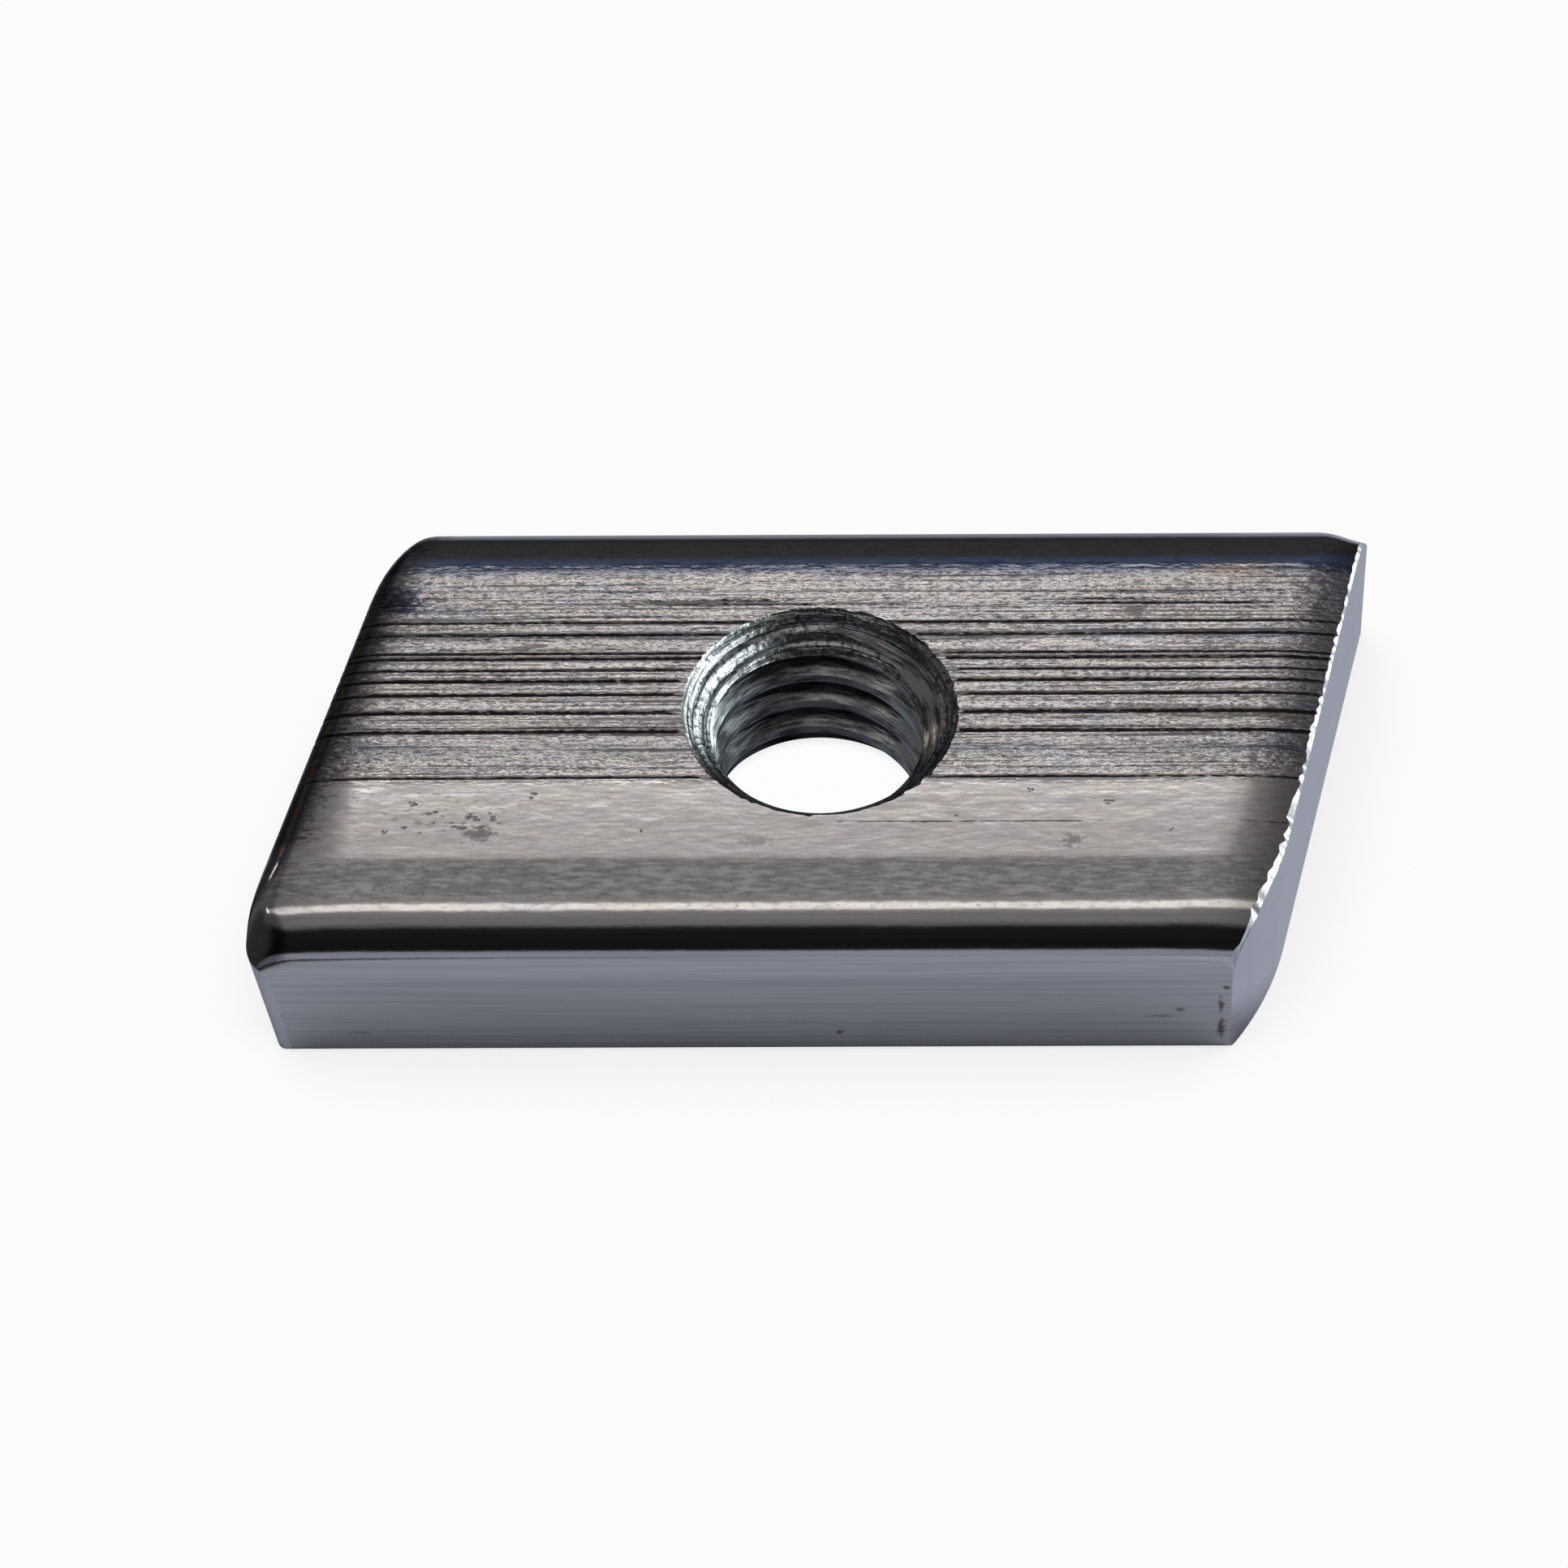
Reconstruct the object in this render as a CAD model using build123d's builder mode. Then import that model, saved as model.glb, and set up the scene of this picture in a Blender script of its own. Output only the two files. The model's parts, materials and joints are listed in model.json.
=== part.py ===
"""T slot nut: a rhombus cropped from drawn steel bar, with one tapped hole through its middle.

The nut drops through the mouth of a slot, turns until its rounded corners pass and its sharp
tips lock against the slot's walls, and pulls up on its top face. Millimetres and degrees.
The origin is on the thread's axis at the underside, +X runs along the bar and +Z points
up out of the top face, the way the screw comes in.
"""
from build123d import *
from math import cos, radians
import os

# Driving sizes: the drawn bar
bar_width = 18.0
bar_thickness = 6.0
top_edge_radius = 2.3        # the bar's two rolled long edges, on the top face
bottom_edge_radius = 0.3     # the bar's two long edges underneath

# Driving sizes: the two cropped ends
blank_length = 31.7          # along either long side, at the top face
end_slant = 14.1             # how far the ends turn from square to the bar
left_end_lean = 0.8          # how far the left end undercuts the top face
right_end_lean = 0.15        # how far the right end's foot stands out past the top face
blunt_corner_radius = 11.5   # the two wide corners, that turn past the slot's walls
blunt_corner_overrun = 4.6   # how far their arcs would run on past the bar's sides
left_tip_radius = 0.6        # the two sharp corners, that lock
right_tip_radius = 0.3
roll_over_radius = 0.8       # the shear's soft edge along the top of the left end

# Driving sizes: the hole, tapped M8 x 1.25 and countersunk on both faces
core_radius = 3.32           # the thread's minor radius
top_sink_radius = 4.4
bottom_sink_radius = 4.1
sink_angle = 90.0

FRONT, BACK = 0, -1          # places in a list sorted along +Y
LEFT, RIGHT = 0, -1          # places in a list sorted along +X

# The blank seen along its cropped ends: across them to the right, and up.
along_ends = Plane.XZ.rotated((0, 0, -end_slant))
half_across = blank_length / 2 * cos(radians(end_slant))
end_view = [
    (-half_across + left_end_lean, 0),
    (half_across + right_end_lean, 0),
    (half_across, bar_thickness),
    (-half_across, bar_thickness),
]


def corner_edge(block, side, end):
    """The upright edge of a four-sided block on one long side, at one end."""
    return block.faces().sort_by(Axis.Y)[side].edges().sort_by(Axis.X)[end]


# The rhombus that the shear leaves. The wide corners are rounded on a wider block, so that each
# arc meets the bar's side at an edge, and the tips are rounded at the bar's own width.
overrun_width = bar_width + 2 * blunt_corner_overrun
with BuildPart() as rhombus:
    with BuildSketch(along_ends):
        with BuildLine():
            Polyline(*end_view, close=True)
        make_face()
    extrude(amount=2 * bar_width, both=True)
    Box(2 * blank_length, overrun_width, 2 * bar_thickness, mode=Mode.INTERSECT)
    fillet([corner_edge(rhombus, FRONT, RIGHT), corner_edge(rhombus, BACK, LEFT)], blunt_corner_radius)
    Box(2 * blank_length, bar_width, 2 * bar_thickness, mode=Mode.INTERSECT)
    fillet(corner_edge(rhombus, FRONT, LEFT), left_tip_radius)
    fillet(corner_edge(rhombus, BACK, RIGHT), right_tip_radius)

# The nut: a length of drawn bar, cropped to the rhombus, rolled over at its left end and tapped.
with BuildPart() as slot_nut:
    with BuildSketch(Plane.YZ) as bar_section:
        with Locations((0, bar_thickness / 2)):
            Rectangle(bar_width, bar_thickness)
        fillet(bar_section.vertices().group_by(Axis.Y)[-1], top_edge_radius)
        fillet(bar_section.vertices().group_by(Axis.Y)[0], bottom_edge_radius)
    extrude(amount=blank_length, both=True)
    add(rhombus.part, mode=Mode.INTERSECT)

    with BuildSketch(along_ends) as rolled_view:
        with BuildLine():
            Polyline(*end_view, close=True)
        make_face()
        fillet(rolled_view.vertices().group_by(Axis.Y)[-1].sort_by(Axis.X)[LEFT], roll_over_radius)
    extrude(amount=bar_width, both=True, mode=Mode.INTERSECT)

    with Locations((0, 0, bar_thickness)):
        CounterSinkHole(core_radius, top_sink_radius, counter_sink_angle=sink_angle)
    with Locations(Location((0, 0, 0), (180, 0, 0))):
        CounterSinkHole(core_radius, bottom_sink_radius, counter_sink_angle=sink_angle)

slot_nut.part.label = "slot_nut"
os.makedirs("parts", exist_ok=True)
export_step(slot_nut.part, "parts/slot_nut.step")
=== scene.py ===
# %% [markdown]
# # A rhombus T slot nut, cropped from drawn bar
# The real nut is one piece of zinc plated steel. A mill draws a flat bar with two rolled edges, a shear
# crops it at a slant, and a drill, a countersink and a tap finish the hole. This scene makes the nut in the
# same order: a stub of bar, a shear, a tap and two countersinks, each a mesh of its own, and booleans that
# cut one from another. That way was chosen because each tool leaves its own marks, and the cuts between them
# stay as crisp as on steel.

# %% The frame and its sizes
import bpy
import json
import numpy as np
from math import atan2, cos, pi, radians, sin, tan
from mathutils import Matrix, Vector


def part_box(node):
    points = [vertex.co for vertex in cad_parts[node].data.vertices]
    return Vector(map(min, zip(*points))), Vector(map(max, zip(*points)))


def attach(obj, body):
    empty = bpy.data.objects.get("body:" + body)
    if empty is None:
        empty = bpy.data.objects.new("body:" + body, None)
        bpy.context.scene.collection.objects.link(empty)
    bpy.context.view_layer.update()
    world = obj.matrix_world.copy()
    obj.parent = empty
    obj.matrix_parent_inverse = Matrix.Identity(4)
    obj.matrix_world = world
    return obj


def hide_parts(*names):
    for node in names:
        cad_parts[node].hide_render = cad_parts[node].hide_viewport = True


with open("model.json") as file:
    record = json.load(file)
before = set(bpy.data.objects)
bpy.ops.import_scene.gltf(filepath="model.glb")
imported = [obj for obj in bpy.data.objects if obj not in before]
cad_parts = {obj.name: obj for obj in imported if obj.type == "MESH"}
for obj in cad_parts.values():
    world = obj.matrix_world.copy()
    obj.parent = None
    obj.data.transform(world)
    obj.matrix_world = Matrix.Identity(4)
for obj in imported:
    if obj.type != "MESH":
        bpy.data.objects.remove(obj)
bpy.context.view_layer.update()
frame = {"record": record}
MM = 0.001
record = frame["record"]
low, high = (np.array(corner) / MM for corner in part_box("slot_nut"))
thread = next(mount for mount in record["mounts"] if mount["name"] == "thread")
width, thickness = high[1] - low[1], high[2]
core_radius = thread["dims"]["r_mm"]
print("bar", round(width, 3), "x", round(thickness, 3), "mm, core radius", core_radius, "mm")

# %% Sizes that the part's drawing gives, in millimetres and degrees
blank_length = 31.7
end_slant = radians(14.1)
left_end_lean, right_end_lean = 0.8, 0.15
blunt_corner_radius, blunt_corner_overrun = 11.5, 4.6
left_tip_radius, right_tip_radius = 0.6, 0.3
roll_over_radius = 0.8
top_edge_radius, bottom_edge_radius = 2.3, 0.3
top_sink_radius, bottom_sink_radius = 4.4, 4.1
thread_pitch, thread_major_radius = 1.25, 4.0
skew = tan(end_slant)


# %% Helpers: a mesh from points and faces, and a node in a tree
def piece(name, points, faces, material=None):
    """A mesh object from points in millimetres, with its place in its mesh."""
    mesh = bpy.data.meshes.new(name)
    mesh.from_pydata((np.asarray(points) * MM).tolist(), [], faces)
    mesh.validate()
    made = bpy.data.objects.new(name, mesh)
    bpy.context.scene.collection.objects.link(made)
    if material:
        mesh.materials.append(material)
    print(name, len(mesh.polygons), "faces")
    return made


def node(tree, kind, inputs=None, **settings):
    """A node with its settings, and its inputs set to values or linked to sockets."""
    made = tree.nodes.new(kind)
    for key, value in settings.items():
        setattr(made, key, value)
    for key, value in (inputs or {}).items():
        if isinstance(value, bpy.types.NodeSocket):
            tree.links.new(value, made.inputs[key])
        else:
            made.inputs[key].default_value = value
    return made


def maths(tree, operation, *values):
    """One Math node of a tree, as its output socket."""
    return node(tree, "ShaderNodeMath", dict(enumerate(values)), operation=operation).outputs[0]


def tube_faces(rings, around):
    """Quads between closed rings of points, each ring running the same way round."""
    return [(i * around + j, i * around + (j + 1) % around,
             (i + 1) * around + (j + 1) % around, (i + 1) * around + j)
            for i in range(rings - 1) for j in range(around)]


# %% [markdown]
# ## The drawn bar
# A die leaves straight lines along the whole bar wherever its bore is worn, and on this bar they crowd the
# middle and back of the top face. They could be painted or bumped, but the deep ones catch light and shadow
# of their own, so they are cut into the mesh, and their colour is also darkened, for dirt and painted shade.
# The bar is a grid: rows run along it, closer where a line is, and columns cross it at the slant of the ends,
# closer where the shear later pulls the skin down.

# %% The drawing lines
chance = np.random.default_rng(7)
half = width / 2
# The deep lines: place across the bar, half width, depth, and how dark their colour is painted, for dirt and
# painted shade in them
deep_lines = [(-4.65, 0.030, 0.0003, 0.72), (-3.43, 0.032, 0.0003, 0.70), (-2.80, 0.045, 0.018, 0.9),
              (-2.42, 0.022, 0.008, 0.5), (-2.10, 0.060, 0.006, 0.3), (-1.60, 0.110, 0.008, 0.35),
              (-0.875, 0.075, 0.040, 1.0), (-0.72, 0.030, 0.012, 0.7), (-0.50, 0.022, 0.007, 0.5),
              (-0.37, 0.022, 0.008, 0.5), (-0.075, 0.078, 0.038, 1.0), (0.38, 0.022, 0.006, 0.4),
              (0.68, 0.060, 0.030, 0.95), (1.26, 0.070, 0.032, 0.95), (1.54, 0.025, 0.008, 0.5),
              (1.72, 0.050, 0.024, 0.9), (2.22, 0.070, 0.032, 0.95), (2.43, 0.045, 0.024, 0.9),
              (2.62, 0.030, 0.006, 0.35), (3.06, 0.050, 0.010, 0.55), (3.24, 0.065, 0.024, 0.85),
              (3.77, 0.050, 0.020, 0.85), (4.02, 0.028, 0.010, 0.6), (4.36, 0.030, 0.008, 0.5),
              (4.55, 0.045, 0.018, 0.75), (4.75, 0.045, 0.014, 0.7), (5.10, 0.030, 0.008, 0.45)]
fine_lines = [(place, chance.uniform(0.012, 0.022), chance.uniform(0.002, 0.006), chance.uniform(0.1, 0.4))
              for place in chance.uniform(-2.9, 5.2, 26)]
lines = deep_lines + fine_lines
print(len(lines), "drawing lines")

# %% [markdown]
# ## The bar's section
# The rolled edge isn't a plain arc: the flat falls away a little before the arc starts, as it does where a
# roll leaves the steel free. A quarter of an ellipse has that slow start and still meets the side square.

# %% The bar's section, as rows
front_reach, back_reach, back_drop = 3.0, 3.3, 2.0
flat, back_flat = half - front_reach, half - back_reach
rise = thickness - top_edge_radius
row_spacing = 0.16
closest_rows = 0.007
groove_rows = [place + step * half_width for place, half_width, _, _ in lines
               for step in (-2.2, -1.2, -0.55, 0, 0.55, 1.2, 2.2)]
plain_rows = np.arange(-flat, back_flat, row_spacing)
top_rows = np.unique(np.round(np.concatenate([plain_rows, [back_flat], groove_rows]), 3))
top_rows = top_rows[np.concatenate([[True], np.diff(top_rows) > closest_rows])]
top_rows[-1] = back_flat


def arc(centre_y, centre_z, reach, height, start, end, steps):
    """Points of an elliptic arc across the section, from one angle to another, both ends left out."""
    turn = np.linspace(start, end, steps + 1)[1:-1]
    return [(centre_y + reach * cos(t), centre_z + height * sin(t)) for t in turn]


foot = bottom_edge_radius
section = [(y, 0.0) for y in np.linspace(half - foot, foot - half, 30)]
section += arc(foot - half, foot, foot, foot, 1.5 * pi, pi, 5)
section += [(-half, z) for z in np.linspace(foot, rise, 14)]
section += arc(-flat, rise, front_reach, top_edge_radius, pi, pi / 2, 48)
section += [(y, thickness) for y in top_rows]
section += arc(back_flat, thickness - back_drop, back_reach, back_drop, pi / 2, 0, 48)
section += [(half, z) for z in np.linspace(thickness - back_drop, foot, 14)]
section += arc(half - foot, foot, foot, foot, 0, -pi / 2, 5)
section = np.array(section)
print("section", len(section), "rows")

# %% The bar's columns
half_across = blank_length / 2 * cos(end_slant)
end_normal = np.array([cos(end_slant), -sin(end_slant)])
end_run = np.array([sin(end_slant), cos(end_slant)])
roll_steps = roll_over_radius * (1 - np.cos(np.linspace(0, pi / 2, 11)))
near_end = np.concatenate([[-1.0, -0.5, -0.2, -0.06], roll_steps, np.arange(0.7, 4.0, 0.1)]) / cos(end_slant)
lipped = np.concatenate([[-1.0, -0.4], np.arange(-0.1, 2.6, 0.13)])
columns = np.unique(np.round(np.concatenate([
    near_end - blank_length / 2, blank_length / 2 - lipped, np.linspace(-12.2, 13.1, 46)]), 4))
print(len(columns), "columns")


def waves(places, seed, spacing):
    """Smooth random numbers between -1 and 1 along a line, one knot each spacing."""
    knots = np.random.default_rng(seed).uniform(-1, 1, 1600)
    at = np.asarray(places) / spacing + 800
    low_knot = np.floor(at).astype(int)
    part = at - low_knot
    part = part * part * (3 - 2 * part)
    return knots[low_knot] * (1 - part) + knots[low_knot + 1] * part


x = columns[None, :] + section[:, :1] * skew
y = np.repeat(section[:, :1], len(columns), axis=1)
z = np.repeat(section[:, 1:], len(columns), axis=1)
on_top = np.clip((z - rise) / top_edge_radius, 0, 1)
sag = np.zeros_like(x)
scoring = np.zeros_like(x)
for number, (middle, half_width, depth, dirt_and_shade) in enumerate(lines):
    steady = 0.15 if dirt_and_shade > 0.8 else 0.45
    strength = 1 - steady + steady * waves(columns, 50 + number, 4.0)[None, :]
    drift = middle + 0.010 * waves(columns, 150 + number, 6.0)[None, :]
    away = (y - drift) / half_width
    sag -= depth * strength * (np.exp(-away ** 2) - 0.30 * np.exp(-(np.abs(away) - 1.7) ** 2 / 0.3))
    scoring = np.maximum(scoring, dirt_and_shade * strength * np.exp(-0.7 * away ** 2))
scoring = scoring * on_top
sag += 0.0010 * waves(y.ravel(), 3, 1.1).reshape(y.shape) * (1 + waves(columns, 4, 6.0)[None, :])


def wide_arc(reach):
    """The circle of the wide front right corner, and how far along the end it starts."""
    side = half + blunt_corner_overrun
    meeting = np.array([reach / cos(end_slant) - side * skew, -side])
    touch = meeting + blunt_corner_radius / tan((pi / 2 + end_slant) / 2) * end_run
    return touch - blunt_corner_radius * end_normal, touch @ end_run


def inset(x, y):
    """How far inside the right end's outline a point is, seen from above."""
    centre, start = wide_arc(half_across)
    out = x * end_normal[0] + y * end_normal[1]
    on_arc = (x * end_run[0] + y * end_run[1] < start) & (out > centre @ end_normal)
    past_arc = blunt_corner_radius - np.hypot(x - centre[0], y - centre[1])
    return np.where(on_arc, past_arc, half_across - out)


# The shear's pull: how deep at the end, how far in it reaches, and how that grows for each millimetre to
# the front. The reach has to stay above zero right to the back edge.
pulls = {"left": (0.17, 2.1, 0.23), "right": (0.16, 2.1, 0.03)}
tip_drop, tip_reach = 1.7, 1.8
insets = {"left": inset(-x, -y), "right": inset(x, y)}
for side, (depth, reach, growth) in pulls.items():
    share = 1 - insets[side] / (reach - growth * y)
    sag -= depth * np.clip(share, 0, 1.4) ** 2
    turned = 1 if side == "right" else -1
    from_tip = np.hypot(x * turned - half_across / cos(end_slant) - half * skew, y * turned - half)
    sag -= tip_drop * np.clip(1 - from_tip / tip_reach, 0, 1) ** 2
# The left end rolls over: its skin bends down a quarter circle, round the wide corner too
bend_radius = roll_over_radius * np.clip(0.85 - 0.04 * y, 0.6, 1.1)
bend = np.clip(1 - insets["left"] / bend_radius, 0, 1)
sag -= bend_radius * (1 - np.sqrt(1 - bend ** 2)) * 0.96
lips = sag.max()
z = z + (sag - lips) * on_top
around = len(section)
bar_points = np.stack([x, y, z], axis=-1).transpose(1, 0, 2).reshape(-1, 3)
bar_scoring = scoring.T.reshape(-1)
bar_faces = tube_faces(len(columns), around)
bar_faces += [tuple(range(around))[::-1], tuple(range((len(columns) - 1) * around, len(columns) * around))]
bar_faces = [face[::-1] for face in bar_faces]
print("bar", len(bar_points), "points")


# %% [markdown]
# ## The shear
# A shear bends the skin down on one side of its cut and tears a lip on the other, and its cut leans. The
# rhombus that it leaves is a stack of outlines: each has the same number of points, so neighbours join as
# quads, and the outlines step in at the lean of the ends. The bend along the left end belongs to the bar's
# skin, so it is there.

# %% The rhombus that the shear leaves
def arc_between(centre, radius, start, end, steps=24):
    """Points of a circle seen from above, from one angle to another."""
    turn = np.linspace(start, end, steps)
    return centre + radius * np.column_stack([np.cos(turn), np.sin(turn)])


def half_outline(reach, tip_radius):
    """The right end, its line that far from the hole: the wide front corner's arc, then the back tip's."""
    side = half + 0.002
    centre, _ = wide_arc(reach)
    start = -np.arcsin((side + centre[1]) / blunt_corner_radius)
    wide = arc_between(centre, blunt_corner_radius, start, -end_slant, 40)
    back = tip_radius / tan((pi / 2 - end_slant) / 2)
    corner = np.array([reach / cos(end_slant) + side * skew, side])
    tip = arc_between(corner + np.array([-back, -tip_radius]), tip_radius, -end_slant, pi / 2)
    return np.concatenate([wide, tip])


def outline_at(height):
    """The rhombus at a height, counter-clockwise from the front of its right end."""
    lean = 1 - min(max(height, 0), thickness) / thickness
    right_half = half_outline(half_across - 0.001 + right_end_lean * lean, right_tip_radius)
    left_half = -half_outline(half_across - 0.001 - left_end_lean * lean, left_tip_radius)
    return np.concatenate([right_half, left_half])


heights = [-1.0, 0.0, thickness, thickness + 1]
outlines = [outline_at(height) for height in heights]
rhombus_points = np.concatenate([np.column_stack([o, np.full(len(o), h)]) for o, h in zip(outlines, heights)])
count = len(outlines[0])
rhombus_faces = tube_faces(len(heights), count)
rhombus_faces += [tuple(range(count))[::-1], tuple(range((len(heights) - 1) * count, len(heights) * count))]
print("rhombus", len(heights), "outlines of", count, "points")

# %% [markdown]
# ## The tap
# A tap cuts a 60 degree V that climbs by one pitch each turn. It could be swept as a triangle along a helix,
# but a sweep leaves a seam at every crossing. Here Geometry Nodes roll a flat grid into a tube whose rows
# climb with the helix, so crest and root each keep to a row of their own, and the seam closes on itself one
# turn further up.

# %% The tap's tree
rows_per_pitch = 16
turns_cut = 7
first_crest, thread_tear = -1.55, 0.012


def tap_tree():
    """A node group that makes the tap's body round +Z, in metres."""
    tree = bpy.data.node_groups.new("tap_body", "GeometryNodeTree")
    tree.interface.new_socket("Body", in_out="OUTPUT", socket_type="NodeSocketGeometry")
    for name, kind in (("Core Radius", "Float"), ("Major Radius", "Float"), ("Pitch", "Float"),
                       ("First Crest", "Float"), ("Tear", "Float"), ("Columns", "Int"), ("Turns", "Int")):
        tree.interface.new_socket(name, in_out="INPUT", socket_type="NodeSocket" + kind)
    given = node(tree, "NodeGroupInput").outputs
    rows = maths(tree, "MULTIPLY", given["Turns"], rows_per_pitch)
    grid = node(tree, "GeometryNodeMeshGrid", {
        "Size X": 1.0, "Size Y": 1.0,
        "Vertices X": maths(tree, "ADD", given["Columns"], 1),
        "Vertices Y": maths(tree, "ADD", rows, 1)})
    place = node(tree, "ShaderNodeSeparateXYZ", {0: node(tree, "GeometryNodeInputPosition").outputs[0]})
    turn = maths(tree, "ADD", place.outputs[0], 0.5)
    climb = maths(tree, "MULTIPLY", maths(tree, "ADD", place.outputs[1], 0.5),
                   given["Turns"])
    angle = maths(tree, "MULTIPLY", turn, 2 * pi)
    height = maths(tree, "MULTIPLY_ADD", maths(tree, "ADD", turn, climb),
                    given["Pitch"], given["First Crest"])
    # The V: how far a row is from the middle of the root, as a share of the pitch, sets its radius.
    share = maths(tree, "ABSOLUTE", maths(
        tree, "SUBTRACT", maths(tree, "FRACT", maths(
            tree, "ADD", climb, 0.0001)), 0.5))
    flank = node(tree, "ShaderNodeMapRange", {
        "Value": share, "From Min": 1 / 16, "From Max": 3 / 8,
        "To Min": given["Major Radius"], "To Max": given["Core Radius"]})
    torn = node(tree, "ShaderNodeTexNoise", {"Vector": node(tree, "ShaderNodeCombineXYZ", {
        0: maths(tree, "COSINE", angle), 1: maths(tree, "SINE", angle),
        2: maths(tree, "DIVIDE", height, given["Pitch"])}).outputs[0],
        "Scale": 7.0, "Detail": 3.0})
    bite = maths(tree, "MULTIPLY", maths(
        tree, "SUBTRACT", torn.outputs[0], 0.5), given["Tear"])
    radius = maths(tree, "ADD", flank.outputs[0], bite)
    moved = node(tree, "GeometryNodeSetPosition", {
        "Geometry": grid.outputs["Mesh"], "Position": node(tree, "ShaderNodeCombineXYZ", {
            0: maths(tree, "MULTIPLY", radius, maths(
                tree, "COSINE", angle)),
            1: maths(tree, "MULTIPLY", radius, maths(tree, "SINE", angle)),
            2: height}).outputs[0]})
    merged = node(tree, "GeometryNodeMergeByDistance", {"Geometry": moved.outputs[0], "Distance": 2e-7})
    real = node(tree, "GeometryNodeRealizeInstances", {"Geometry": merged.outputs[0]})
    finished = node(tree, "GeometryNodeSetMaterial", {"Geometry": real.outputs[0]})
    finished.name = "finish"
    node(tree, "NodeGroupOutput", {0: finished.outputs[0]})
    return tree


# %% Helpers: a modifier tree's inputs, a plain mesh from it, and closed ends
def set_inputs(modifier, **values):
    """Sets a Geometry Nodes modifier's inputs by their socket identifiers."""
    for socket in modifier.node_group.interface.items_tree:
        if socket.in_out == "INPUT" and socket.name in values:
            modifier[socket.identifier] = values[socket.name]


def settled(made):
    """The object with its modifiers made real and removed."""
    bpy.context.view_layer.update()
    result = bpy.data.meshes.new_from_object(made.evaluated_get(bpy.context.evaluated_depsgraph_get()))
    made.modifiers.clear()
    made.data = result
    return made


def close_ends(made):
    """Fans each open edge loop of a tube to a point on its axis, and turns every face outwards."""
    import bmesh
    shape = bmesh.new()
    shape.from_mesh(made.data)
    open_edges = [edge for edge in shape.edges if edge.is_boundary]
    middle = sum(edge.verts[0].co.z for edge in open_edges) / len(open_edges)
    for side in (-1, 1):
        loop = [edge for edge in open_edges if (edge.verts[0].co.z - middle) * side > 0]
        height = sum(edge.verts[0].co.z for edge in loop) / len(loop)
        centre = shape.verts.new((0, 0, height))
        for edge in loop:
            shape.faces.new((edge.verts[0], edge.verts[1], centre))
    bmesh.ops.recalc_face_normals(shape, faces=shape.faces)
    print(made.name, "open edges closed:", len(open_edges))
    shape.to_mesh(made.data)
    shape.free()
    return made

# %% [markdown]
# ## The finishes
# Zinc plate is thin, so each tool's marks show through it. One material for the whole nut would need a mask
# for every cut, so the skin, the sheared ends, the pits, the torn lip, the thread and the countersinks each
# have a material of their own, and the booleans hand it on with the faces that each tool cuts. All are metal,
# and differ in grain and tint.

# %% Helpers for the finishes
def finish_tree(name, colour, roughness):
    """A metal material: its tree, its shader, and a point in millimetres on the piece."""
    made = bpy.data.materials.new(name)
    made.use_nodes = True
    tree = made.node_tree
    shader = tree.nodes["Principled BSDF"]
    shader.inputs["Metallic"].default_value = 1.0
    shader.inputs["Base Color"].default_value = (*colour, 1)
    shader.inputs["Roughness"].default_value = roughness
    coordinates = node(tree, "ShaderNodeTexCoord").outputs["Object"]
    return made, tree, shader, coordinates


def grain(tree, coordinates, scale, detail=3.0, kind="ShaderNodeTexNoise", **settings):
    """A noise whose scale is given along X, Y and Z, in marks each millimetre."""
    mapping = node(tree, "ShaderNodeMapping", {"Vector": coordinates, "Scale": [s / MM for s in scale]})
    return node(tree, kind, {"Vector": mapping.outputs[0], "Scale": 1.0, "Detail": detail}, **settings)


def ramp(tree, value, *stops):
    """A value remapped by stops of (place, level)."""
    made = node(tree, "ShaderNodeValToRGB", {"Fac": value})
    marks = made.color_ramp.elements
    while len(marks) < len(stops):
        marks.new(0.5)
    for mark, (place, level) in zip(marks, stops):
        mark.position = place
        mark.color = (*level, 1) if isinstance(level, tuple) else (level, level, level, 1)
    return made.outputs[0]


def tinted(tree, factor, first, second):
    """A mix of two colours, or of a socket and a colour."""
    made = node(tree, "ShaderNodeMix", data_type="RGBA")
    for place, value in ((0, factor), (6, first), (7, second)):
        if isinstance(value, bpy.types.NodeSocket):
            tree.links.new(value, made.inputs[place])
        else:
            made.inputs[place].default_value = (*value, 1) if isinstance(value, tuple) else value
    return made.outputs[2]


def raised(tree, height, depth, under=None):
    """A Bump node whose height runs from 0 to 1 and is depth millimetres deep."""
    inputs = {"Height": height, "Distance": depth * MM, "Strength": 1.0}
    if under is not None:
        inputs["Normal"] = under
    return node(tree, "ShaderNodeBump", inputs).outputs[0]


# %% The drawn skin: masks
drawn_skin, tree, shader, at = finish_tree("drawn_skin", (0.8, 0.79, 0.78), 0.12)
place = node(tree, "ShaderNodeSeparateXYZ", {0: at})
along = maths(tree, "DIVIDE", place.outputs[0], MM)
across = maths(tree, "DIVIDE", place.outputs[1], MM)
height = maths(tree, "DIVIDE", place.outputs[2], MM)


def between(tree, value, start, end):
    """Rises smoothly from 0 at start to 1 at end."""
    return node(tree, "ShaderNodeMapRange", {"Value": value, "From Min": start, "From Max": end},
                interpolation_type="SMOOTHSTEP").outputs[0]


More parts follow.
